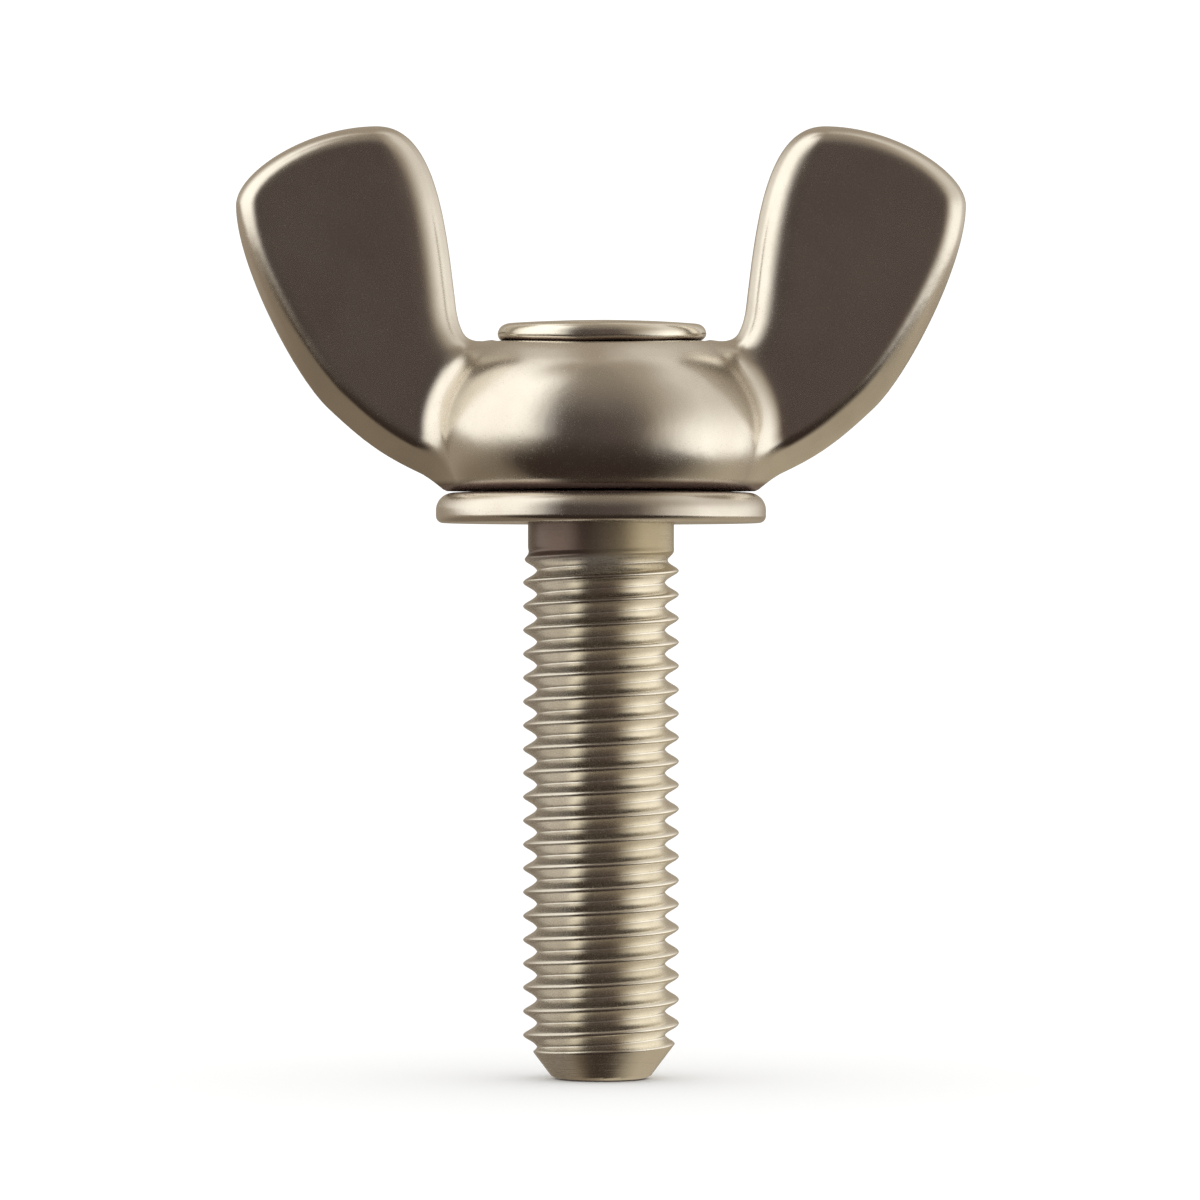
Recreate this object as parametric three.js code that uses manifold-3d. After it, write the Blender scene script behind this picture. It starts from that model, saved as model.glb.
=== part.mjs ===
// Wing bolt: a winged head pressed onto a threaded stud and held by the stud's riveted end,
// with a captive washer that turns freely between the head and the thread.
//
// Lengths are in millimetres. The origin is the centre of the washer's underside, the face
// that clamps. +Z runs up the stud's axis, and the two wings spread along X.
import * as THREE from "three";
import { mergeVertices } from "three/addons/utils/BufferGeometryUtils.js";
import Module from "manifold-3d";

// Thread: ISO metric coarse M10 x 1.5, right-handed, within class 6g
const PITCH = 1.5;
const CREST_RADIUS = 4.92;
const ROOT_RADIUS = 4.0;
const CREST_FLAT = PITCH / 8;
const FLANK_ANGLE = Math.PI / 6;
const TIP_Z = -35;
const TIP_RADIUS = 3.0;
const TIP_CHAMFER_ANGLE = THREE.MathUtils.degToRad(37);

// Stud above the thread
const NECK_RADIUS = 4.6;
const NECK_END_Z = -1.8;
const SHOULDER_GAP = 0.05;
const SERRATION_COUNT = 24;
const SERRATION_CREST_RADIUS = 4.0;
const SERRATION_ROOT_RADIUS = 3.7;
const RIVET_RADIUS = 6.65;
const RIVET_RIM_HEIGHT = 1.15;
const RIVET_DOME_HEIGHT = 0.3;
const RIVET_EDGE_RADIUS = 0.85;

// Washer: 21 x 2 stamping, with a hole that passes the neck and stops at the thread's crests
const WASHER_RADIUS = 10.4;
const WASHER_THICKNESS = 1.9;
const WASHER_HOLE_RADIUS = 4.82;
const WASHER_UPPER_EDGE = 1.1;
const WASHER_LOWER_EDGE = 0.5;
const WASHER_HOLE_CHAMFER = 0.2;

// Head: a round hub with two flat wings
const WASHER_GAP = 0.1;
const HUB_BOTTOM_Z = WASHER_THICKNESS + WASHER_GAP;
const HUB_RADIUS = 10.4;
const HUB_WIDEST_Z = 5.8;
const HUB_TOP_RADIUS = 6.9;
const HUB_TOP_Z = 11.3;
const BORE_GAP = 0.05;
const WING_SPAN_RADIUS = 23.0;
const WING_WIDEST_Z = 20.0;
const WING_TOP_Z = 25.0;
const WING_THICKNESS = 3.7;
const WING_EDGE_RADIUS = 1.5;

// Curves of the hub's section in (radius, z), from its seat up. Each is the points that pull
// the curve, then the point where it ends.
const HUB_SEAT_END = [8.8, HUB_BOTTOM_Z];
const HUB_LOWER_EDGE = [[9.15, HUB_BOTTOM_Z], [9.35, 2.35]];
const HUB_BELLY = [[9.85, 2.95], [HUB_RADIUS, 4.3], [HUB_RADIUS, HUB_WIDEST_Z]];
const HUB_FLANK = [[HUB_RADIUS, 7.5], [9.5, 9.2], [8.2, 10.3]];
const HUB_SHOULDER = [[7.7, 10.75], [HUB_TOP_RADIUS, HUB_TOP_Z]];

// Curves of a wing's outline in (x, z), from the hub's foot out, round the tip and back. The
// two root points lie inside the hub.
const WING_LOW_ROOT = [2.0, 2.6];
const WING_FOOT = [9.3, 2.3];
const WING_UNDERSIDE = [[13.8, 4.1], [14.0, 4.2], [17.2, 7.2]];
const WING_OUTER_SIDE = [[18.8, 8.7], [WING_SPAN_RADIUS, 16.8], [WING_SPAN_RADIUS, WING_WIDEST_Z]];
const WING_TIP = [[WING_SPAN_RADIUS, 22.1], [18.5, WING_TOP_Z], [14.1, WING_TOP_Z]];
const WING_INNER_SIDE = [[10.2, WING_TOP_Z], [9.7, 18.2], [9.1, 13.4]];
const WING_CROTCH = [[8.9, 11.9], [HUB_TOP_RADIUS, HUB_TOP_Z]];
const WING_HIGH_ROOT = [2.0, 11.0];

// How far joined solids reach into each other, and cutting solids stand clear
const OVERLAP = 0.1;
const CLEARANCE = 0.3;

// Fineness of the round shapes
const ROUND_SEGMENTS = 48;
const THREAD_SEGMENTS = 16;
const CURVE_POINTS = 4;
const OUTLINE_POINTS = 8;
const WING_EDGE_STEPS = 3;
const WELD_DISTANCE = 1e-4;

const wasm = await Module();
wasm.setup();

// A closed geometry as a solid that can be joined and cut.
function solidOf(geometry) {
  geometry.deleteAttribute("normal");
  geometry.deleteAttribute("uv");
  const welded = mergeVertices(geometry, WELD_DISTANCE);
  const mesh = new wasm.Mesh({
    numProp: 3,
    vertProperties: welded.attributes.position.array,
    triVerts: welded.index.array,
  });
  return new wasm.Manifold(mesh);
}

function geometryOf(solid) {
  const mesh = solid.getMesh();
  const geometry = new THREE.BufferGeometry();
  geometry.setAttribute("position", new THREE.BufferAttribute(mesh.vertProperties, 3));
  geometry.setIndex(new THREE.BufferAttribute(mesh.triVerts, 1));
  geometry.computeVertexNormals();
  return geometry;
}

// Draws curves one after another. Two points make a quadratic curve and three a cubic one.
function follow(path, curves) {
  for (const points of curves) {
    if (points.length === 2) path.quadraticCurveTo(...points.flat());
    else path.bezierCurveTo(...points.flat());
  }
}

// A profile of (radius, z) turned about the Z axis.
function turned(profile) {
  const geometry = new THREE.LatheGeometry(profile.getPoints(CURVE_POINTS), ROUND_SEGMENTS);
  return geometry.rotateX(Math.PI / 2);
}

// One full pitch of the thread's section, from one crest up to the next.
function threadSection() {
  const flankRise = (CREST_RADIUS - ROOT_RADIUS) * Math.tan(FLANK_ANGLE);
  const rootFlat = PITCH - CREST_FLAT - 2 * flankRise;
  return [
    { radius: CREST_RADIUS, rise: 0 },
    { radius: CREST_RADIUS, rise: CREST_FLAT },
    { radius: ROOT_RADIUS, rise: CREST_FLAT + flankRise },
    { radius: ROOT_RADIUS, rise: CREST_FLAT + flankRise + rootFlat },
  ];
}

// A right-handed screw of whole turns from lowZ up. Its skin is one strip of rows that climb a
// pitch in each turn, so the last column of a row meets the first column one section higher.
// A fan of triangles about a point on the axis closes each end.
function screw(lowZ, turns) {
  const section = threadSection();
  const step = section.length;
  const topRow = turns * step;
  const positions = [];
  const triangles = [];
  const numbers = new Map();

  function vertex(row, column) {
    const wraps = Math.floor(column / THREAD_SEGMENTS);
    const ownRow = row + wraps * step;
    const ownColumn = column - wraps * THREAD_SEGMENTS;
    const key = ownRow * THREAD_SEGMENTS + ownColumn;
    if (!numbers.has(key)) {
      const { radius, rise } = section[ownRow % step];
      const turn = ownColumn / THREAD_SEGMENTS;
      const z = lowZ + rise + (Math.floor(ownRow / step) + turn) * PITCH;
      const angle = 2 * Math.PI * turn;
      numbers.set(key, positions.length / 3);
      positions.push(radius * Math.cos(angle), radius * Math.sin(angle), z);
    }
    return numbers.get(key);
  }

  function closeEnd(loop, apexZ) {
    const apex = positions.length / 3;
    positions.push(0, 0, apexZ);
    loop.forEach((from, i) => triangles.push(from, loop[(i + 1) % loop.length], apex));
  }

  for (let row = 0; row < topRow; row++) {
    for (let column = 0; column < THREAD_SEGMENTS; column++) {
      const low = vertex(row, column);
      const lowNext = vertex(row, column + 1);
      const high = vertex(row + 1, column);
      const highNext = vertex(row + 1, column + 1);
      triangles.push(low, lowNext, highNext, low, highNext, high);
    }
  }

  const columns = Array.from({ length: THREAD_SEGMENTS }, (_, column) => column);
  const rowsOfOneTurn = Array.from({ length: step }, (_, row) => row);
  const bottomRow = columns.map((column) => vertex(0, THREAD_SEGMENTS - column));
  const bottomSeam = rowsOfOneTurn.map((row) => vertex(row, 0));
  closeEnd([...bottomSeam, ...bottomRow], lowZ);
  const topEdge = columns.map((column) => vertex(topRow, column));
  const topSeam = rowsOfOneTurn.map((row) => vertex(topRow + step - row, 0));
  closeEnd([...topEdge, ...topSeam], lowZ + (turns + 1) * PITCH);

  const geometry = new THREE.BufferGeometry();
  geometry.setAttribute("position", new THREE.Float32BufferAttribute(positions, 3));
  geometry.setIndex(triangles);
  return geometry;
}

// The space that the thread fills: chamfered at the tip and run out into the neck.
function threadEnvelope() {
  const clearOfCrests = CREST_RADIUS + CLEARANCE;
  const chamferHeight = (clearOfCrests - TIP_RADIUS) / Math.tan(TIP_CHAMFER_ANGLE);
  const profile = new THREE.Path();
  profile.moveTo(0, TIP_Z);
  profile.lineTo(TIP_RADIUS, TIP_Z);
  profile.lineTo(clearOfCrests, TIP_Z + chamferHeight);
  profile.lineTo(clearOfCrests, NECK_END_Z - PITCH);
  profile.lineTo(NECK_RADIUS - OVERLAP, NECK_END_Z);
  profile.lineTo(0, NECK_END_Z);
  return turned(profile);
}

// The neck, the shank through the head and the riveted end, turned in one piece.
function studCore() {
  const insideThread = ROOT_RADIUS - OVERLAP;
  const insideSerration = SERRATION_ROOT_RADIUS - OVERLAP;
  const rimTop = HUB_TOP_Z + RIVET_RIM_HEIGHT;
  const profile = new THREE.Path();
  profile.moveTo(0, NECK_END_Z - 2 * PITCH);
  profile.lineTo(insideThread, NECK_END_Z - 2 * PITCH);
  profile.lineTo(insideThread, NECK_END_Z - PITCH / 2);
  profile.lineTo(NECK_RADIUS, NECK_END_Z);
  profile.lineTo(NECK_RADIUS, HUB_BOTTOM_Z - SHOULDER_GAP);
  profile.lineTo(insideSerration, HUB_BOTTOM_Z - SHOULDER_GAP);
  profile.lineTo(insideSerration, HUB_TOP_Z + SHOULDER_GAP);
  profile.lineTo(RIVET_RADIUS, HUB_TOP_Z + SHOULDER_GAP);
  profile.lineTo(RIVET_RADIUS, rimTop - RIVET_EDGE_RADIUS);
  profile.quadraticCurveTo(RIVET_RADIUS, rimTop, RIVET_RADIUS - RIVET_EDGE_RADIUS, rimTop);
  profile.quadraticCurveTo(RIVET_RADIUS / 2, rimTop + RIVET_DOME_HEIGHT, 0, rimTop + RIVET_DOME_HEIGHT);
  return turned(profile);
}

// A prism with pointed serrations all round, wider than the stud's own by gap.
function serratedPrism(lowZ, highZ, gap) {
  const outline = new THREE.Shape();
  for (let i = 0; i < 2 * SERRATION_COUNT; i++) {
    const radius = (i % 2 ? SERRATION_ROOT_RADIUS : SERRATION_CREST_RADIUS) + gap;
    const angle = (Math.PI * i) / SERRATION_COUNT;
    const x = radius * Math.cos(angle);
    const y = radius * Math.sin(angle);
    if (i === 0) outline.moveTo(x, y);
    else outline.lineTo(x, y);
  }
  const geometry = new THREE.ExtrudeGeometry(outline, { depth: highZ - lowZ, bevelEnabled: false });
  return geometry.translate(0, 0, lowZ);
}

function threadedStud() {
  const turns = Math.ceil((NECK_END_Z - TIP_Z) / PITCH) + 4;
  const thread = solidOf(screw(TIP_Z - 2 * PITCH, turns)).intersect(solidOf(threadEnvelope()));
  const shankLow = HUB_BOTTOM_Z - 2 * SHOULDER_GAP;
  const shankHigh = HUB_TOP_Z + 2 * SHOULDER_GAP;
  const serrations = solidOf(serratedPrism(shankLow, shankHigh, 0));
  return geometryOf(thread.add(solidOf(studCore())).add(serrations));
}

function washer() {
  const inner = WASHER_HOLE_RADIUS;
  const outer = WASHER_RADIUS;
  const top = WASHER_THICKNESS;
  const chamfer = WASHER_HOLE_CHAMFER;
  const profile = new THREE.Path();
  profile.moveTo(inner, chamfer);
  profile.lineTo(inner + chamfer, 0);
  profile.lineTo(outer - WASHER_LOWER_EDGE, 0);
  profile.quadraticCurveTo(outer, 0, outer, WASHER_LOWER_EDGE);
  profile.lineTo(outer, top - WASHER_UPPER_EDGE);
  profile.quadraticCurveTo(outer, top, outer - WASHER_UPPER_EDGE, top);
  profile.lineTo(inner + chamfer, top);
  profile.lineTo(inner, top - chamfer);
  profile.lineTo(inner, chamfer);
  return turned(profile);
}

function hub() {
  const profile = new THREE.Path();
  profile.moveTo(0, HUB_BOTTOM_Z);
  profile.lineTo(...HUB_SEAT_END);
  follow(profile, [HUB_LOWER_EDGE, HUB_BELLY, HUB_FLANK, HUB_SHOULDER]);
  profile.lineTo(0, HUB_TOP_Z);
  return turned(profile);
}

function wingOutline() {
  const outline = new THREE.Shape();
  outline.moveTo(...WING_LOW_ROOT);
  outline.lineTo(...WING_FOOT);
  follow(outline, [WING_UNDERSIDE, WING_OUTER_SIDE, WING_TIP, WING_INNER_SIDE, WING_CROTCH]);
  outline.lineTo(...WING_HIGH_ROOT);
  return outline;
}

// The flat wing on +X with full round edges, centred on the plane y = 0.
function wing() {
  const geometry = new THREE.ExtrudeGeometry(wingOutline(), {
    depth: WING_THICKNESS - 2 * WING_EDGE_RADIUS,
    curveSegments: OUTLINE_POINTS,
    bevelThickness: WING_EDGE_RADIUS,
    bevelSize: WING_EDGE_RADIUS,
    bevelOffset: -WING_EDGE_RADIUS,
    bevelSegments: WING_EDGE_STEPS,
  });
  geometry.rotateX(Math.PI / 2);
  return geometry.translate(0, WING_THICKNESS / 2 - WING_EDGE_RADIUS, 0);
}

function wingHead() {
  const bore = serratedPrism(HUB_BOTTOM_Z - CLEARANCE, HUB_TOP_Z + CLEARANCE, BORE_GAP);
  const rightWing = solidOf(wing());
  const leftWing = solidOf(wing().rotateZ(Math.PI));
  const blank = solidOf(hub()).add(rightWing).add(leftWing);
  return geometryOf(blank.subtract(solidOf(bore)));
}

function piece(name, geometry, look) {
  const mesh = new THREE.Mesh(geometry, new THREE.MeshStandardMaterial(look));
  mesh.name = name;
  return mesh;
}

const wingBolt = new THREE.Group();
wingBolt.add(
  piece("wing_head", wingHead(), { color: 0xb5aa9b, roughness: 0.22, metalness: 1 }),
  piece("threaded_stud", threadedStud(), { color: 0xb0a793, roughness: 0.28, metalness: 1 }),
  piece("washer", washer(), { color: 0xb8ad9d, roughness: 0.25, metalness: 1 }),
);

export default wingBolt;
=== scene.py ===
"""Looks of the wing bolt: fine meshes for its three pieces, their metal and a plain studio.

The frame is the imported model's: +Z up the stud, the washer's underside at z = 0, wings along X.
Shapes are worked out in millimetres and written to the meshes in metres.
"""

import math

import bmesh
import bpy
import numpy as np
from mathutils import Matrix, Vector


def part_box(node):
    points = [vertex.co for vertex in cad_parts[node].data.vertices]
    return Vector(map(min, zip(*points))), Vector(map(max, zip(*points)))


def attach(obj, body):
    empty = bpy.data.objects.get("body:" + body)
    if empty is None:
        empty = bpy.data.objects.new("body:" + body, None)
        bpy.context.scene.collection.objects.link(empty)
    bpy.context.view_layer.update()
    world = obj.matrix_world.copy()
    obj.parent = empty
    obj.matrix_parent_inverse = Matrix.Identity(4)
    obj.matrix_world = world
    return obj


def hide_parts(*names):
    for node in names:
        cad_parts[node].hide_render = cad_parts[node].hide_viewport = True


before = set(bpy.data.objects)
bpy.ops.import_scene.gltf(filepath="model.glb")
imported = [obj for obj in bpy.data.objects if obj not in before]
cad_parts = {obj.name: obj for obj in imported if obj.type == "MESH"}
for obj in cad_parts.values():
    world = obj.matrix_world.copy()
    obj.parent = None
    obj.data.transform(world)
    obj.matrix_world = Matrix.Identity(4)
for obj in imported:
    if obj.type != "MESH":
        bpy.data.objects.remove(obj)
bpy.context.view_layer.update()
MM = 0.001


def box_mm(node):
    """A CAD node's lowest and highest corners."""
    low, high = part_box(node)
    return np.array(low) / MM, np.array(high) / MM


HEAD_LOW, HEAD_HIGH = box_mm("wing_head")
STUD_LOW, STUD_HIGH = box_mm("threaded_stud")
WASHER_HIGH = box_mm("washer")[1]

# Head
HUB_BOTTOM = HEAD_LOW[2]
HUB_RADIUS = HEAD_HIGH[1]
HUB_WIDEST = 5.8  # height where the hub has that radius
HUB_TOP = 11.3
HUB_TOP_RADIUS = 6.9
HUB_FOOT = (9.35, 2.35)  # radius and z where the low edge meets the belly
HUB_SHOULDER = (8.2, 10.3)  # radius and z where the flank turns in to the top
HUB_SADDLE = 0.12  # how far the hub's top rises towards the wings and sinks between them
SADDLE_FADE = (4.5, 6.5)  # radii between which the saddle starts
BASE_ROUNDING = 0.1
BORE_RADIUS = 4.05
UPPER_PART = 8  # height from which the wings thin towards their tips and the saddle grows
WING_SPAN = HEAD_HIGH[0]
WING_TOP = HEAD_HIGH[2]
WING_BURIED = 5.5  # x inside the hub where the wing's outline closes
WING_FOOT = (9.4, 2.25)
WING_ELBOW = (17.2, 7.2)
WING_TIP = (WING_SPAN, 20.0)
WING_CREST = (14.1, WING_TOP)
WING_INNER = (9.1, 13.4)
WING_HALF_ROOT = 1.9
WING_HALF_TIP = 1.8
WING_CORNER = 1.5
WING_DRAFT = math.radians(18)  # slope of a wing's edge on each side of the dies' parting line
WING_STRETCH_INNER = 1.5  # widths of the rounding on the inner and top edges, as shares of the outer's
WING_STRETCH_TOP = 0.75
PARTING_ROUNDING = 0.2
UNDERSIDE_CORNER = 1.0
UNDERSIDE_DRAFT = math.radians(39)
UNDERSIDE_FACING = (0.25, 0.65)  # how far down an edge faces, for none and all of that draft
ROOT_FILLET = 1.5

# Stud
PITCH = 1.5
CREST = 4.92
ROOT = 4.0
FLANK_ANGLE = math.radians(30)
ROOT_ROUNDING = 0.42
CREST_ROUNDING = 0.22
TIP = STUD_LOW[2]
TIP_RADIUS = 3.0
TIP_DOME = 0.07
TIP_LIP = (0.06, 0.10)  # in from the end face's rim, and up
TIP_SLOPE = math.tan(math.radians(37))
TIP_ROUNDING = 0.08
THREAD_LOW = TIP + 0.22  # heights between which the skin climbs with the thread
THREAD_HIGH = -1.2
RUN_OUT = (-2.75, -1.5)  # heights between which the thread fades into the neck
NECK = 4.6
NECK_TOP = HUB_BOTTOM - 0.05
SHANK = 4.0
RIVET_RADIUS = STUD_HIGH[0]
RIVET_TOP = STUD_HIGH[2]
RIVET_DOME = 0.28
RIVET_EDGE = 0.62
RIVET_FOOT = 0.42
RIVET_GAP = 0.06  # between the hub's top and the rivet's rim
RIVET_UNDERCUT = 0.9
RIVET_INSET = 0.08  # room for the swells
UPPER_UPSET = 0.35  # share of the upset that reaches the rivet's upper edge
# Unevenness round the rivet: size, waves in a turn, phase
UPSET_WAVES = ((HUB_SADDLE, 2, 0), (0.03, 5, 1), (0.02, 9, 0))
SWELL_WAVES = ((0.05, 3, 0.7), (0.03, 7, 0))

# Washer
WASHER_RADIUS = WASHER_HIGH[0]
WASHER_THICKNESS = WASHER_HIGH[2]
WASHER_HOLE = 4.82
WASHER_HOLE_EDGE = 0.25
WASHER_UPPER_EDGE = 1.1
WASHER_LOWER_EDGE = 0.45
WASHER_FACE = 5.6  # radius where the flat faces start
WASHER_LOWER_MARGIN = 0.9  # from the flat faces to the washer's outside
WASHER_UPPER_MARGIN = 1.5

# Fineness
VOXEL = 0.25
SMOOTHING_ROUNDS = 4
SMOOTHING_SHARE = 0.6
FIELD_STEP = 0.05
WING_AREA = ((3, 0), (25, 27))  # what the distance fields cover: lowest and highest x and z
HUB_AREA = ((2, 0), (25, 27))
POINTS_AT_ONCE = 4096
COLUMNS = 120
ROWS_PER_PITCH = 16


# ---------------------------------------------------------------- curves and profiles


def bezier(start, first, second, end, steps):
    """Points of a cubic curve, without its last one."""
    t = np.linspace(0, 1, steps, endpoint=False)[:, None]
    p = [np.array(q, float) for q in (start, first, second, end)]
    return (1 - t) ** 3 * p[0] + 3 * (1 - t) ** 2 * t * p[1] + 3 * (1 - t) * t**2 * p[2] + t**3 * p[3]


def corner(centre, radius, start_deg, end_deg, steps):
    """Points of an arc, both ends included."""
    a = np.radians(np.linspace(start_deg, end_deg, steps))
    return np.column_stack([centre[0] + radius * np.cos(a), centre[1] + radius * np.sin(a)])


def smoothstep(low, high, value):
    """0 below low, 1 above high, eased between them."""
    t = np.clip((value - low) / (high - low), 0, 1)
    return t * t * (3 - 2 * t)


def soft_min(a, b, reach):
    """The smaller value, rounded over where the two are within reach of each other."""
    h = np.clip(0.5 + 0.5 * (b - a) / reach, 0, 1)
    return b * (1 - h) + a * h - reach * h * (1 - h)


def soft_max(a, b, reach):
    return -soft_min(-a, -b, reach)


def wing_outline():
    """The wing on +X, in x and z, from under the hub out to the tip and back to the hub's top."""
    return np.vstack(
        [
            bezier((WING_BURIED, 2.9), (7.0, 2.6), (8.2, 2.3), WING_FOOT, 8),
            bezier(WING_FOOT, (13.2, 3.8), (14.6, 4.75), WING_ELBOW, 32),
            bezier(WING_ELBOW, (19.4, 9.27), (WING_SPAN, 16.4), WING_TIP, 48),
            bezier(WING_TIP, (WING_SPAN, 22.1), (18.5, WING_TOP), WING_CREST, 40),
            bezier(WING_CREST, (10.2, WING_TOP), (9.7, 18.2), WING_INNER, 48),
            bezier(WING_INNER, (8.9, 12.0), (8.2, 10.5), (WING_BURIED, 9.5), 16),
        ]
    )


def hub_outline():
    """Half of the hub's section with the bore, in radius and z."""
    return np.vstack(
        [
            [(BORE_RADIUS, HUB_BOTTOM)],
            bezier((8.8, HUB_BOTTOM), (9.0, HUB_BOTTOM), (9.2, 2.15), HUB_FOOT, 8),
            bezier(HUB_FOOT, (9.85, 2.95), (HUB_RADIUS, 4.3), (HUB_RADIUS, HUB_WIDEST), 24),
            bezier((HUB_RADIUS, HUB_WIDEST), (HUB_RADIUS, 7.5), (9.5, 9.2), HUB_SHOULDER, 32),
            bezier(HUB_SHOULDER, (7.85, 10.6), (7.45, 10.95), (HUB_TOP_RADIUS, HUB_TOP), 14),
            [(HUB_TOP_RADIUS, HUB_TOP), (BORE_RADIUS, HUB_TOP)],
        ]
    )


# ---------------------------------------------------------------- head as a distance field


def outline_distance(points, outline):
    """Signed distance to a closed outline, negative inside, and the outward direction there."""
    a, b = outline, np.roll(outline, -1, axis=0)
    ab = b - a
    keep = (ab**2).sum(1) > 1e-12
    a, b, ab = a[keep], b[keep], ab[keep]
    length2 = (ab**2).sum(1)
    distance = np.empty(len(points))
    direction = np.empty((len(points), 2))
    for first in range(0, len(points), POINTS_AT_ONCE):
        batch = slice(first, first + POINTS_AT_ONCE)
        p = points[batch]
        pa = p[:, None] - a
        t = np.clip((pa * ab).sum(2) / length2, 0, 1)
        gap = pa - t[..., None] * ab
        d2 = (gap**2).sum(2)
        nearest = d2.argmin(1)
        rows = np.arange(len(p))
        d = np.sqrt(d2[rows, nearest])
        straddles = (a[:, 1] <= p[:, None, 1]) != (b[:, 1] <= p[:, None, 1])
        with np.errstate(divide="ignore", invalid="ignore"):
            cross_x = a[:, 0] + (p[:, None, 1] - a[:, 1]) / ab[:, 1] * ab[:, 0]
        inside = (straddles & (p[:, None, 0] < cross_x)).sum(1) % 2 == 1
        sign = np.where(inside, -1.0, 1.0)
        distance[batch] = d * sign
        direction[batch] = gap[rows, nearest] * (sign / np.maximum(d, 1e-9))[:, None]
    return distance, direction


class Field:
    """A function of two coordinates, kept on a fine grid and read between its points."""

    def __init__(self, low, high, function):
        self.low = np.array(low, float)
        self.counts = np.ceil((np.array(high) - self.low) / FIELD_STEP).astype(int) + 1
        axes = [self.low[i] + FIELD_STEP * np.arange(self.counts[i]) for i in (0, 1)]
        grid = np.stack(np.meshgrid(*axes, indexing="ij"), -1).reshape(-1, 2)
        self.values = function(grid).reshape(self.counts)

    def __call__(self, u, v):
        gu = np.clip((u - self.low[0]) / FIELD_STEP, 0, self.counts[0] - 1.001)
        gv = np.clip((v - self.low[1]) / FIELD_STEP, 0, self.counts[1] - 1.001)
        iu, iv = gu.astype(int), gv.astype(int)
        fu, fv = gu - iu, gv - iv
        low = self.values[iu, iv] * (1 - fv) + self.values[iu, iv + 1] * fv
        high = self.values[iu + 1, iv] * (1 - fv) + self.values[iu + 1, iv + 1] * fv
        return low * (1 - fu) + high * fu


def wing_edge_distance(points):
    """Distance from the wing's outline, made smaller where that edge's rounding is wider."""
    distance, direction = outline_distance(points, wing_outline())
    stretch = 1 + (WING_STRETCH_INNER - 1) * np.clip(-direction[:, 0], 0, 1)
    stretch += (WING_STRETCH_TOP - 1) * np.clip(direction[:, 1], 0, 1) ** 2
    return distance / stretch


def underside_share(points):
    """1 along the wing's underside, 0 along its other edges."""
    direction = outline_distance(points, wing_outline())[1]
    return smoothstep(*UNDERSIDE_FACING, -direction[:, 1])


def drafted_edge(distance, y, half, rounding, draft):
    """A plate's edge: flat face, round corner, and a draft down to the parting line at y = 0."""
    y = np.sqrt(y * y + PARTING_ROUNDING**2) - PARTING_ROUNDING
    face = y - (half - rounding)
    start = -(half - rounding) * math.tan(draft) - rounding / math.cos(draft)
    side = (distance - start) * math.cos(draft) + face * math.sin(draft)
    at_corner = (distance > start) & (face * math.cos(draft) > (distance - start) * math.sin(draft))
    corner_distance = np.hypot(distance - start, face)
    return np.where(at_corner, corner_distance, np.maximum(face, side)) - rounding


wing_distance = Field(*WING_AREA, wing_edge_distance)
wing_underside = Field(*WING_AREA, underside_share)
hub_distance = Field(*HUB_AREA, lambda points: outline_distance(points, hub_outline())[0])


def saddle(x, y, radius):
    """Rise of the hub's top towards the wings, as a share of HUB_SADDLE."""
    return (x * x - y * y) / np.maximum(radius * radius, 1e-6) * smoothstep(*SADDLE_FADE, radius)


def head_field(p):
    """Below 0 inside the head, and near its surface about the distance to it."""
    x, y, z = np.abs(p[:, 0]), p[:, 1], p[:, 2]
    radius = np.hypot(x, y)
    half = WING_HALF_ROOT + (WING_HALF_TIP - WING_HALF_ROOT) * smoothstep(UPPER_PART, WING_TOP, z)
    distance = wing_distance(x, z)
    under = wing_underside(x, z)
    wing = (1 - under) * drafted_edge(distance, y, half, WING_CORNER, WING_DRAFT)
    wing += under * drafted_edge(distance, y, half, UNDERSIDE_CORNER, UNDERSIDE_DRAFT)
    lift = HUB_SADDLE * saddle(x, y, radius) * smoothstep(UPPER_PART, HUB_TOP, z)
    hub = hub_distance(radius, z - lift)
    joined = np.maximum(ROOT_FILLET, np.minimum(wing, hub)) - np.hypot(
        np.clip(ROOT_FILLET - wing, 0, None), np.clip(ROOT_FILLET - hub, 0, None)
    )
    bored = np.maximum(joined, BORE_RADIUS - radius)
    return soft_max(bored, HUB_BOTTOM - z, BASE_ROUNDING)


def project(points, steps):
    """Moves points onto the head's surface along the field's slope."""
    nudge = 0.01
    longest_step = 0.4
    flattest_slope = 0.05
    for _ in range(steps):
        value = head_field(points)
        slope = np.empty_like(points)
        for axis in range(3):
            shifted = points.copy()
            shifted[:, axis] += nudge
            slope[:, axis] = (head_field(shifted) - value) / nudge
        length2 = np.maximum((slope**2).sum(1), flattest_slope)
        step = np.clip(value / length2, -longest_step, longest_step)
        points = points - slope * step[:, None]
    return points


def relax(points, edges, share):
    """Moves each point part of the way to the middle of its neighbours."""
    total = np.zeros_like(points)
    count = np.zeros(len(points))
    for a, b in (edges.T, edges.T[::-1]):
        for axis in range(3):
            total[:, axis] += np.bincount(a, points[b, axis], len(points))
        count += np.bincount(a, minlength=len(points))
    return points + share * (total / count[:, None] - points)


# ---------------------------------------------------------------- meshes


def new_piece(name, vertices_mm, faces):
    """An object from vertices and faces, with vertices in the same place joined."""
    mesh = bpy.data.meshes.new(name)
    mesh.from_pydata((np.asarray(vertices_mm) * MM).tolist(), [], faces)
    made = bpy.data.objects.new(name, mesh)
    bpy.context.scene.collection.objects.link(made)
    work = bmesh.new()
    work.from_mesh(mesh)
    bmesh.ops.remove_doubles(work, verts=work.verts, dist=1e-8)
    bmesh.ops.recalc_face_normals(work, faces=work.faces)
    work.to_mesh(mesh)
    work.free()
    mesh.shade_smooth()
    return made


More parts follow.
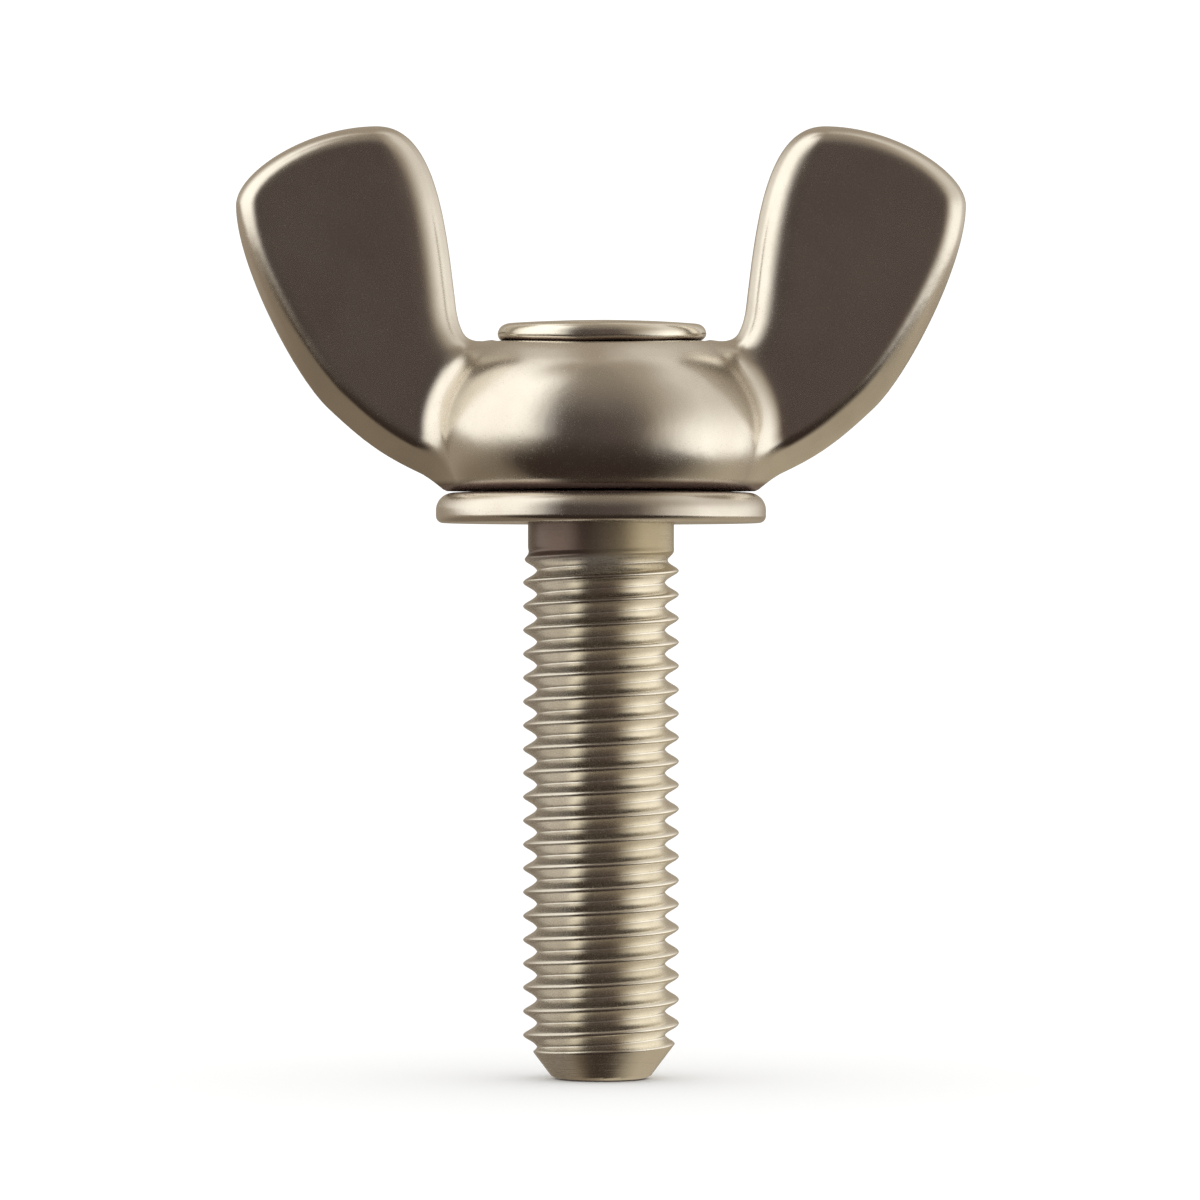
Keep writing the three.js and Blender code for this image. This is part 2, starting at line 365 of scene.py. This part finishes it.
def ring_faces(first, count):
    """Quads between neighbouring level rings of vertices."""
    faces = []
    for ring in range(first, first + count - 1):
        low, high = ring * COLUMNS, (ring + 1) * COLUMNS
        for column in range(COLUMNS):
            nxt = (column + 1) % COLUMNS
            faces.append((low + column, low + nxt, high + nxt, high + column))
    return faces


def helix_faces(first_row, rows):
    """Quads of a skin whose rows climb one pitch in a turn, so its seam joins rows a pitch apart."""
    faces = []
    for row in range(rows - 1):
        for column in range(COLUMNS - 1):
            low = (first_row + row) * COLUMNS + column
            faces.append((low, low + 1, low + 1 + COLUMNS, low + COLUMNS))
        low = (first_row + row) * COLUMNS + COLUMNS - 1
        met = (first_row + min(row + ROWS_PER_PITCH, rows - 1)) * COLUMNS
        met_above = (first_row + min(row + 1 + ROWS_PER_PITCH, rows - 1)) * COLUMNS
        faces.append((low, met, met_above, low + COLUMNS))
    return faces


def ring_points(radius, z):
    """One ring of vertices. radius and z are numbers or one value for each column."""
    angle = 2 * np.pi * np.arange(COLUMNS) / COLUMNS
    radius = np.broadcast_to(radius, COLUMNS)
    return np.column_stack([radius * np.cos(angle), radius * np.sin(angle), np.broadcast_to(z, COLUMNS)])


def wing_head():
    """The CAD head with an even, fine mesh, moved onto the head's distance field."""
    blank = bpy.data.objects.new("head_blank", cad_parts["wing_head"].data.copy())
    bpy.context.scene.collection.objects.link(blank)
    remesh = blank.modifiers.new("even", "REMESH")
    remesh.mode = "VOXEL"
    remesh.voxel_size = VOXEL * MM
    evaluated = blank.evaluated_get(bpy.context.evaluated_depsgraph_get())
    mesh = bpy.data.meshes.new_from_object(evaluated)
    bpy.data.objects.remove(blank)
    points = np.empty(len(mesh.vertices) * 3)
    mesh.vertices.foreach_get("co", points)
    points = points.reshape(-1, 3) / MM
    edges = np.empty(len(mesh.edges) * 2, np.int32)
    mesh.edges.foreach_get("vertices", edges)
    edges = edges.reshape(-1, 2)
    points = project(points, steps=6)
    for _ in range(SMOOTHING_ROUNDS):
        points = relax(points, edges, SMOOTHING_SHARE)
        points = project(points, steps=2)
    points = project(points, steps=3)
    mesh.vertices.foreach_set("co", (points * MM).ravel())
    mesh.update()
    mesh.name = "winged_head"
    mesh.shade_smooth()
    made = bpy.data.objects.new("winged_head", mesh)
    bpy.context.scene.collection.objects.link(made)
    return made


def thread_radius(z, turn):
    """Radius of the thread at height z, where turn is the angle in turns."""
    off_crest = (z - PITCH * turn) / PITCH
    off_crest = np.abs(off_crest - np.round(off_crest)) * PITCH
    half_flat = PITCH / 16
    flank = CREST - (off_crest - half_flat) / math.tan(FLANK_ANGLE)
    thread = soft_min(np.full_like(z, CREST), soft_max(flank, ROOT, ROOT_ROUNDING), CREST_ROUNDING)
    run_out = smoothstep(*RUN_OUT, z)
    thread = thread * (1 - run_out) + NECK * run_out
    chamfer = TIP_RADIUS + (z - TIP) * TIP_SLOPE
    return soft_min(thread, chamfer, TIP_ROUNDING)


def tip_rings():
    """The slightly domed end face and the lip round it."""
    rings = []
    for radius in np.linspace(0.4, TIP_RADIUS - 0.2, 7):
        rings.append(ring_points(radius, TIP + TIP_DOME * (radius / TIP_RADIUS) ** 2))
    rings.append(ring_points(TIP_RADIUS - TIP_LIP[0], TIP + TIP_LIP[1]))
    return rings


def thread_rings():
    """Rows that climb one pitch in a turn and are held level at both ends."""
    turns = np.arange(COLUMNS) / COLUMNS
    first = math.floor((THREAD_LOW / PITCH - 1) * ROWS_PER_PITCH)
    last = math.ceil(THREAD_HIGH / PITCH * ROWS_PER_PITCH) + 1
    rings = []
    for row in range(first, last + 1):
        z = np.clip(PITCH * (row / ROWS_PER_PITCH + turns), THREAD_LOW, THREAD_HIGH)
        rings.append(ring_points(thread_radius(z, turns), z))
    return rings


def shank_rings():
    """The plain neck, the shoulder under the hub and the shank in its bore."""
    rings = []
    for z in np.linspace(THREAD_HIGH + 0.3, NECK_TOP - 0.1, 8):
        rings.append(ring_points(NECK, z))
    rings.append(ring_points(NECK, NECK_TOP))
    rings.append(ring_points(SHANK, NECK_TOP))
    rings.append(ring_points(SHANK, HUB_TOP))
    return rings


def waves(angle, parts):
    """Unevenness round a circle, summed from its parts."""
    return sum(size * np.cos(count * angle + phase) for size, count, phase in parts)


def rivet_rings():
    """The riveted end: a low disc that lies unevenly on the hub's saddle, with a domed top."""
    angle = 2 * np.pi * (np.arange(COLUMNS) / COLUMNS)
    upset = waves(angle, UPSET_WAVES)
    outer = RIVET_RADIUS - RIVET_INSET + waves(angle, SWELL_WAVES)
    rim_low = HUB_TOP + RIVET_GAP + RIVET_FOOT
    rim_high = RIVET_TOP - RIVET_DOME
    rings = [ring_points(RIVET_RADIUS - RIVET_UNDERCUT, HUB_TOP + RIVET_GAP + upset)]
    for x, z in corner((-RIVET_FOOT, rim_low), RIVET_FOOT, -90, 0, 8):
        rings.append(ring_points(outer + x, z + upset))
    for x, z in corner((-RIVET_EDGE, rim_high - RIVET_EDGE), RIVET_EDGE, 0, 90, 14):
        rings.append(ring_points(outer + x, z + UPPER_UPSET * upset))
    flat = RIVET_RADIUS - RIVET_EDGE
    for radius in np.linspace(flat - 0.2, 0.3, 14):
        dome = RIVET_DOME * (1 - (radius / flat) ** 2)
        rings.append(ring_points(radius, rim_high + dome + UPPER_UPSET * upset * (radius / flat) ** 2))
    return rings


def threaded_stud():
    """One closed skin from the tip's middle, up the thread and the shank, to the rivet's middle."""
    tip, thread = tip_rings(), thread_rings()
    rings = tip + thread + shank_rings() + rivet_rings()
    first_row = len(tip)
    last_row = first_row + len(thread) - 1
    points = np.vstack(rings + [[(0, 0, TIP)], [(0, 0, RIVET_TOP)]])
    faces = ring_faces(0, first_row + 1) + helix_faces(first_row, len(thread))
    faces += ring_faces(last_row, len(rings) - last_row)
    bottom, crown = len(points) - 2, len(points) - 1
    last_ring = (len(rings) - 1) * COLUMNS
    for column in range(COLUMNS):
        nxt = (column + 1) % COLUMNS
        faces.append((nxt, column, bottom))
        faces.append((last_ring + column, last_ring + nxt, crown))
    return new_piece("stud", points, faces)


def washer():
    """A stamping: rolled upper edge, crisper lower edge and flat faces."""
    low, high = WASHER_LOWER_EDGE, WASHER_THICKNESS - WASHER_UPPER_EDGE
    hole, edge = WASHER_HOLE + WASHER_HOLE_EDGE, WASHER_HOLE_EDGE
    lower_face = np.linspace(WASHER_FACE, WASHER_RADIUS - WASHER_LOWER_MARGIN, 8)
    upper_face = np.linspace(WASHER_RADIUS - WASHER_UPPER_MARGIN, WASHER_FACE, 8)
    profile = np.vstack(
        [
            corner((hole, edge), edge, 180, 270, 6),
            [(radius, 0.0) for radius in lower_face],
            corner((WASHER_RADIUS - low, low), low, -90, 0, 10),
            corner((WASHER_RADIUS - WASHER_UPPER_EDGE, high), WASHER_UPPER_EDGE, 0, 90, 18),
            [(radius, WASHER_THICKNESS) for radius in upper_face],
            corner((hole, WASHER_THICKNESS - edge), edge, 90, 180, 6),
        ]
    )
    closed = np.vstack([profile, profile[:1]])
    rings = [ring_points(radius, z) for radius, z in closed]
    return new_piece("washer_ring", np.vstack(rings), ring_faces(0, len(rings)))


# ---------------------------------------------------------------- metal

GAP_SHADE = (0.15, 0.09, 0.07)  # painted shade: dark brown laid on the metal in narrow gaps, where shade falls
SHADED_SEAM = (HUB_BOTTOM + 0.25, HUB_BOTTOM + 0.75)  # heights where the painted shade along the head's low edge is full and where it ends
# Painted shade on the stud: the neck's brown film is darker where shade falls under the washer and on
# the left, and a painted-shade trace runs down the thread's left side
FILM_SHADED_SIDE = (0.125, 0.085, 0.066)
FILM_UNSHADED_SIDE = (0.42, 0.345, 0.215)
SIDE_SHADE_SPAN = (-1.5, 2.8)  # x from the side with painted shade to the side without
FILM_AND_SHADE_RISE = (-2.9, -1.9)  # z from clean thread to the neck's film and painted shade
SIDE_SHADE_TRACE = 0.35  # share of painted shade left down the thread's shaded side
SIDE_SHADE_TRACE_SPAN = (-2.5, -1.4)  # x from that trace to clean thread
FILM_AND_SHADE_DULLS = 0.45  # how much less metallic the film and painted shade make the surface
GAP_SHADE_DULLS = 0.5
GAP_SHADE_THICK = (0.75, 1.0)  # shares of painted shade between which it dulls the metal
GAP_SHADE_OPENNESS = (0.3, 0.88)  # how open a spot is, for full painted shade and for none
# painted shade along the head's low edge, at its fullest
SHADED_SEAM_SHARE = 0.95

# Noise scales, in features for each millimetre
PATCHES, GRAIN, PITS, WAVES = 0.22, 3.0, 7.0, 0.55
TURNED_LINES = (9, 0.6, 9)
SCRATCHES = (  # rotation and scale of each set
    ((0.2, 0.5, 0.9), (9, 0.5, 9)),
    ((1.1, 0.3, 2.0), (8, 0.4, 8)),
    ((2.2, 1.4, 0.4), (11, 0.6, 11)),
)

# Noise values between which each starts to show
SCRATCH_LEVELS, PIT_LEVELS, LINE_LEVELS = (0.66, 0.74), (0.72, 0.8), (0.5, 0.75)
PATCH_LEVELS, PATCH_ROUGH_LEVELS = (0.35, 0.7), (0.3, 0.7)
NOISE_ROUGHNESS = 0.55

# Depths in millimetres
WAVE_DEPTH, GRAIN_DEPTH, SCRATCH_DEPTH, PIT_DEPTH, LINE_DEPTH = 0.012, 0.0012, 0.0012, 0.0015, 0.004

# What each adds to the roughness
SCRATCH_ROUGH, PIT_ROUGH, LINE_ROUGH = 0.10, 0.08, 0.08
PATCH_ROUGH = (-0.03, 0.04)


class Nodes:
    """Short calls for building a node tree."""

    def __init__(self, tree):
        self.tree = tree

    def add(self, kind, settings=(), inputs=()):
        """A new node. An input is a constant, or the socket that feeds it."""
        node = self.tree.nodes.new(kind)
        for key, value in dict(settings).items():
            setattr(node, key, value)
        for key, value in dict(inputs).items():
            if isinstance(value, bpy.types.NodeSocket):
                self.tree.links.new(value, node.inputs[key])
            else:
                node.inputs[key].default_value = value
        return node

    def math(self, operation, *values, clamp=False):
        settings = {"operation": operation, "use_clamp": clamp}
        return self.add("ShaderNodeMath", settings, dict(enumerate(values))).outputs[0]

    def ramp(self, value, low, high, to_low=0.0, to_high=1.0):
        """value from low..high to to_low..to_high, eased and clamped."""
        inputs = {0: value, 1: low, 2: high, 3: to_low, 4: to_high}
        node = self.add("ShaderNodeMapRange", {"interpolation_type": "SMOOTHSTEP"}, inputs)
        return node.outputs[0]

    def noise(self, vector, scale, detail):
        inputs = {"Vector": vector, "Scale": scale, "Detail": detail, "Roughness": NOISE_ROUGHNESS}
        return self.add("ShaderNodeTexNoise", {}, inputs).outputs["Fac"]

    def mix(self, factor, first, second):
        node = self.add("ShaderNodeMix", {"data_type": "RGBA"}, {0: factor, 6: first, 7: second})
        return node.outputs[2]

    def bump(self, height, distance_mm, normal=None):
        inputs = {"Height": height, "Distance": distance_mm * MM, "Strength": 1.0}
        if normal is not None:
            inputs["Normal"] = normal
        return self.add("ShaderNodeBump", {}, inputs).outputs["Normal"]


def millimetres(n):
    """The point on the surface, in the frame's millimetres."""
    here = n.add("ShaderNodeTexCoord").outputs["Object"]
    return n.add("ShaderNodeVectorMath", {"operation": "SCALE"}, {0: here, "Scale": 1 / MM}).outputs[0]


def turned_point(n, point):
    """(radius, angle, z): noise that is stretched along the angle runs in lines round the axis."""
    xyz = n.add("ShaderNodeSeparateXYZ", {}, {0: point})
    x, y, z = xyz.outputs
    radius = n.math("SQRT", n.math("ADD", n.math("MULTIPLY", x, x), n.math("MULTIPLY", y, y)))
    angle = n.math("ARCTAN2", y, x)
    made = n.add("ShaderNodeCombineXYZ", {}, {0: radius, 1: angle, 2: z})
    return made.outputs[0]


def stretched(n, point, scale, rotation=(0, 0, 0)):
    """The point turned and scaled by axis, which stretches the noise that is read there."""
    inputs = {"Vector": point, "Rotation": rotation, "Scale": scale}
    return n.add("ShaderNodeMapping", {"vector_type": "POINT"}, inputs).outputs[0]


def neck_film_and_shade(n, x, z):
    """Brown coating with painted shade, full on the neck and darker on its left, and painted shade in a
    trace down the thread's left side: colour and share.
    """
    colour = n.mix(n.ramp(x, *SIDE_SHADE_SPAN), (*FILM_SHADED_SIDE, 1), (*FILM_UNSHADED_SIDE, 1))
    # painted shade: darker towards the left, and a trace down the thread's left side
    share = n.math("MAXIMUM", n.ramp(z, *FILM_AND_SHADE_RISE), n.ramp(x, *SIDE_SHADE_TRACE_SPAN, SIDE_SHADE_TRACE, 0.0))
    return colour, n.math("MULTIPLY", share, n.math("LESS_THAN", z, HUB_BOTTOM))


def gap_shade_share(n, z, reach_mm, seam):
    """Share of painted shade: all of it in gaps narrower than the reach, and along the head's seam."""
    occlusion = n.add("ShaderNodeAmbientOcclusion", {"samples": 8}, {"Distance": reach_mm * MM})
    share = n.ramp(occlusion.outputs["AO"], *GAP_SHADE_OPENNESS, 1.0, 0.0)
    if seam:
        share = n.math("MAXIMUM", share, n.ramp(z, *seam, SHADED_SEAM_SHARE, 0.0))
    return share


def scratch_share(n, point):
    """1 in the scratches: thin lines in a few directions."""
    share = 0.0
    for rotation, scale in SCRATCHES:
        lines = n.noise(stretched(n, point, scale, rotation), 1.0, 2)
        share = n.math("MAXIMUM", share, n.ramp(lines, *SCRATCH_LEVELS))
    return share


def steel(name, tint, worn_tint, roughness, lined, reach_mm, seam=None, filmed_and_shaded=False):
    """Bright stainless steel. lined adds the fine lines that turning or rolling leaves."""
    material = bpy.data.materials.new(name)
    material.use_nodes = True
    material.node_tree.nodes.clear()
    n = Nodes(material.node_tree)
    point = millimetres(n)
    patches = n.noise(point, PATCHES, 4)
    scratches = scratch_share(n, point)
    pits = n.ramp(n.noise(point, PITS, 1), *PIT_LEVELS)

    colour = n.mix(n.ramp(patches, *PATCH_LEVELS), (*tint, 1), (*worn_tint, 1))
    x, _, z = n.add("ShaderNodeSeparateXYZ", {}, {0: point}).outputs
    metallic = 1.0
    # Brown film with painted shade on the neck and down the thread's left side
    if filmed_and_shaded:
        film_and_shade, film_and_shade_share = neck_film_and_shade(n, x, z)
        colour = n.mix(film_and_shade_share, colour, film_and_shade)
        metallic = n.math("SUBTRACT", 1.0, n.math("MULTIPLY", film_and_shade_share, FILM_AND_SHADE_DULLS))
    # Painted shade: dark brown, and less metallic, in narrow gaps and along the head's low edge
    gap_shade = gap_shade_share(n, z, reach_mm, seam)
    colour = n.mix(gap_shade, colour, (*GAP_SHADE, 1))
    dulled = n.ramp(gap_shade, *GAP_SHADE_THICK, 0.0, GAP_SHADE_DULLS)
    metallic = n.math("SUBTRACT", metallic, dulled, clamp=True)

    least, most = (roughness + change for change in PATCH_ROUGH)
    rough = n.ramp(patches, *PATCH_ROUGH_LEVELS, least, most)
    rough = n.math("ADD", rough, n.math("MULTIPLY", scratches, SCRATCH_ROUGH))
    rough = n.math("ADD", rough, n.math("MULTIPLY", pits, PIT_ROUGH))
    normal = n.bump(n.noise(point, WAVES, 2), WAVE_DEPTH)
    normal = n.bump(n.noise(point, GRAIN, 4), GRAIN_DEPTH, normal)
    normal = n.bump(n.math("SUBTRACT", 1.0, scratches), SCRATCH_DEPTH, normal)
    normal = n.bump(n.math("SUBTRACT", 1.0, pits), PIT_DEPTH, normal)
    if lined:
        lines = n.noise(stretched(n, turned_point(n, point), TURNED_LINES), 1.0, 3)
        normal = n.bump(lines, LINE_DEPTH * lined, normal)
        rough = n.math("ADD", rough, n.ramp(lines, *LINE_LEVELS, 0.0, LINE_ROUGH))

    inputs = {"Base Color": colour, "Metallic": metallic, "Roughness": rough, "Normal": normal}
    shader = n.add("ShaderNodeBsdfPrincipled", {}, inputs)
    n.add("ShaderNodeOutputMaterial", {}, {"Surface": shader.outputs[0]})
    return material


# ---------------------------------------------------------------- studio

CAMERA_DISTANCE = 0.410
VIEW_WIDTH = 0.0756
VIEW_CENTRE = (-0.00006, -0.00485)

# What the metal reflects, by direction
BOX = (1.46, 1.42, 1.345, 1)
ROOM = (0.383, 0.322, 0.248, 1)
DARK_LEFT = (0.064, 0.046, 0.039, 1)
DARK_RIGHT = (0.084, 0.059, 0.051, 1)
LOW = (0.040, 0.027, 0.021, 1)
LOW_LEFT = (0.25, 0.20, 0.148, 1)
LOW_RIGHT = (0.51, 0.44, 0.335, 1)
BOX_TILT = 0.3  # how far the soft boxes rise with each degree past the sides
BOX_LEAN = 0.25  # how far the right box moves out with each degree of height

# Where that is, in degrees round from the front, right positive, or in degrees of height. Each
# has its two limits and then its softness at each.
FRONT_SIDES = (-46, 34, 12, 16)
BENEATH_SIDES = (-78, 85, 14, 35)
LEFT_BOX_SIDES, LEFT_BOX_HEIGHTS = (-132, -43.5, 30, 19), (-9, 64, 4, 13)
RIGHT_BOX_SIDES, RIGHT_BOX_HEIGHTS = (54, 140, 25, 28), (-22, 64, 4, 13)

# Changes with height or side: from, to, and the values there
FRONT_FADE = (5, 75, 1.0, 0.35)
RIGHT_BOX_FADE = (-12, 32, 1.0, 0.4)
BENEATH_FADE = (-27, -7, 1.0, 0.0)
DARK_CHANGE = (-4, 4)
BENEATH_CHANGE = (-40, 40)

DAYLIGHT = 1.12  # brightness of the white that the eye and the floor see
FLOOR_SIZE = 4.0
FLOOR_COLOUR = (0.96, 0.96, 0.955, 1)


def camera():
    """Level, in front, and far enough away to see little perspective."""
    data = bpy.data.cameras.new("camera")
    data.sensor_width = 36
    data.lens = data.sensor_width * CAMERA_DISTANCE / VIEW_WIDTH
    data.clip_start = 0.01
    data.clip_end = 20
    made = bpy.data.objects.new("camera", data)
    made.location = (VIEW_CENTRE[0], -CAMERA_DISTANCE, VIEW_CENTRE[1])
    made.rotation_euler = (math.pi / 2, 0, 0)
    bpy.context.scene.collection.objects.link(made)
    bpy.context.scene.camera = made


def floor():
    """A wide pale floor at the stud's tip."""
    size = FLOOR_SIZE
    z = TIP * MM
    mesh = bpy.data.meshes.new("floor")
    corners = [(-size, -size, z), (size, -size, z), (size, size, z), (-size, size, z)]
    mesh.from_pydata(corners, [], [(0, 1, 2, 3)])
    made = bpy.data.objects.new("floor", mesh)
    bpy.context.scene.collection.objects.link(made)
    material = bpy.data.materials.new("pale_floor")
    material.use_nodes = True
    shader = material.node_tree.nodes["Principled BSDF"]
    shader.inputs["Base Color"].default_value = FLOOR_COLOUR
    shader.inputs["Roughness"].default_value = 1.0
    shader.inputs["Specular IOR Level"].default_value = 0.0
    mesh.materials.append(material)
    made.visible_glossy = False


def studio_world():
    """White to the eye and to the floor. In the metal it shows as a dim room with two soft boxes."""
    world = bpy.data.worlds.new("studio")
    world.use_nodes = True
    world.node_tree.nodes.clear()
    n = Nodes(world.node_tree)
    direction = n.add("ShaderNodeTexCoord").outputs["Generated"]
    x, y, z = n.add("ShaderNodeSeparateXYZ", {}, {0: direction}).outputs
    side = n.math("DEGREES", n.math("ARCTAN2", x, n.math("MULTIPLY", y, -1.0)))
    height = n.math("DEGREES", n.math("ARCSINE", z))

    def window(value, low, high, soft_low, soft_high):
        """1 between two limits, with its own softness at each."""
        rise = n.ramp(value, low - soft_low, low + soft_low)
        fall = n.ramp(value, high - soft_high, high + soft_high, 1.0, 0.0)
        return n.math("MULTIPLY", rise, fall)

    beyond = n.math("MAXIMUM", n.math("SUBTRACT", n.math("ABSOLUTE", side), 90.0), 0.0)
    tilted = n.math("SUBTRACT", height, n.math("MULTIPLY", beyond, BOX_TILT))
    raised = n.math("MAXIMUM", height, 0.0)
    leaned = n.math("SUBTRACT", side, n.math("MULTIPLY", raised, BOX_LEAN))
    left_box = n.math("MULTIPLY", window(side, *LEFT_BOX_SIDES), window(tilted, *LEFT_BOX_HEIGHTS))
    right_box = n.math("MULTIPLY", window(leaned, *RIGHT_BOX_SIDES), window(tilted, *RIGHT_BOX_HEIGHTS))
    right_box = n.math("MULTIPLY", right_box, n.ramp(height, *RIGHT_BOX_FADE))

    front = n.math("MULTIPLY", window(side, *FRONT_SIDES), n.ramp(height, *FRONT_FADE))
    dark = n.mix(n.ramp(side, *DARK_CHANGE), DARK_LEFT, DARK_RIGHT)
    room = n.mix(front, ROOM, dark)
    beneath = n.mix(n.ramp(side, *BENEATH_CHANGE), LOW_LEFT, LOW_RIGHT)
    beneath = n.mix(window(side, *BENEATH_SIDES), beneath, LOW)
    room = n.mix(n.ramp(height, *BENEATH_FADE), room, beneath)
    studio = n.mix(n.math("MAXIMUM", left_box, right_box), room, BOX)

    glossy = n.add("ShaderNodeBackground", {}, {"Color": studio, "Strength": 1.0})
    white = n.add("ShaderNodeBackground", {}, {"Color": (1, 1, 1, 1), "Strength": DAYLIGHT})
    seen_in_metal = n.add("ShaderNodeLightPath").outputs["Is Glossy Ray"]
    shaders = {0: seen_in_metal, 1: white.outputs[0], 2: glossy.outputs[0]}
    mixed = n.add("ShaderNodeMixShader", {}, shaders)
    n.add("ShaderNodeOutputWorld", {}, {"Surface": mixed.outputs[0]})
    bpy.context.scene.world = world


# ---------------------------------------------------------------- assembly

camera()
floor()
studio_world()
bpy.context.scene.view_settings.view_transform = "Standard"

HEAD_TINT, HEAD_WORN = (0.76, 0.715, 0.64), (0.70, 0.655, 0.575)
STUD_TINT, STUD_WORN = (0.86, 0.82, 0.725), (0.80, 0.755, 0.65)
WASHER_TINT, WASHER_WORN = (0.70, 0.655, 0.585), (0.64, 0.595, 0.52)

head_metal = steel("head_metal", HEAD_TINT, HEAD_WORN, 0.225, lined=0, reach_mm=0.7, seam=SHADED_SEAM)
stud_metal = steel("stud_metal", STUD_TINT, STUD_WORN, 0.22, lined=1, reach_mm=0.12, filmed_and_shaded=True)
washer_metal = steel("washer_metal", WASHER_TINT, WASHER_WORN, 0.22, lined=0.6, reach_mm=1.0)

pieces = (
    (wing_head(), "bolt", "wing_head", "head_steel", head_metal),
    (threaded_stud(), "bolt", "threaded_stud", "stud_steel", stud_metal),
    (washer(), "washer", "washer", "washer_steel", washer_metal),
)
for piece, body, node, slot, material in pieces:
    piece.data.materials.clear()
    piece.data.materials.append(material)
    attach(piece, body)
    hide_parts(node)
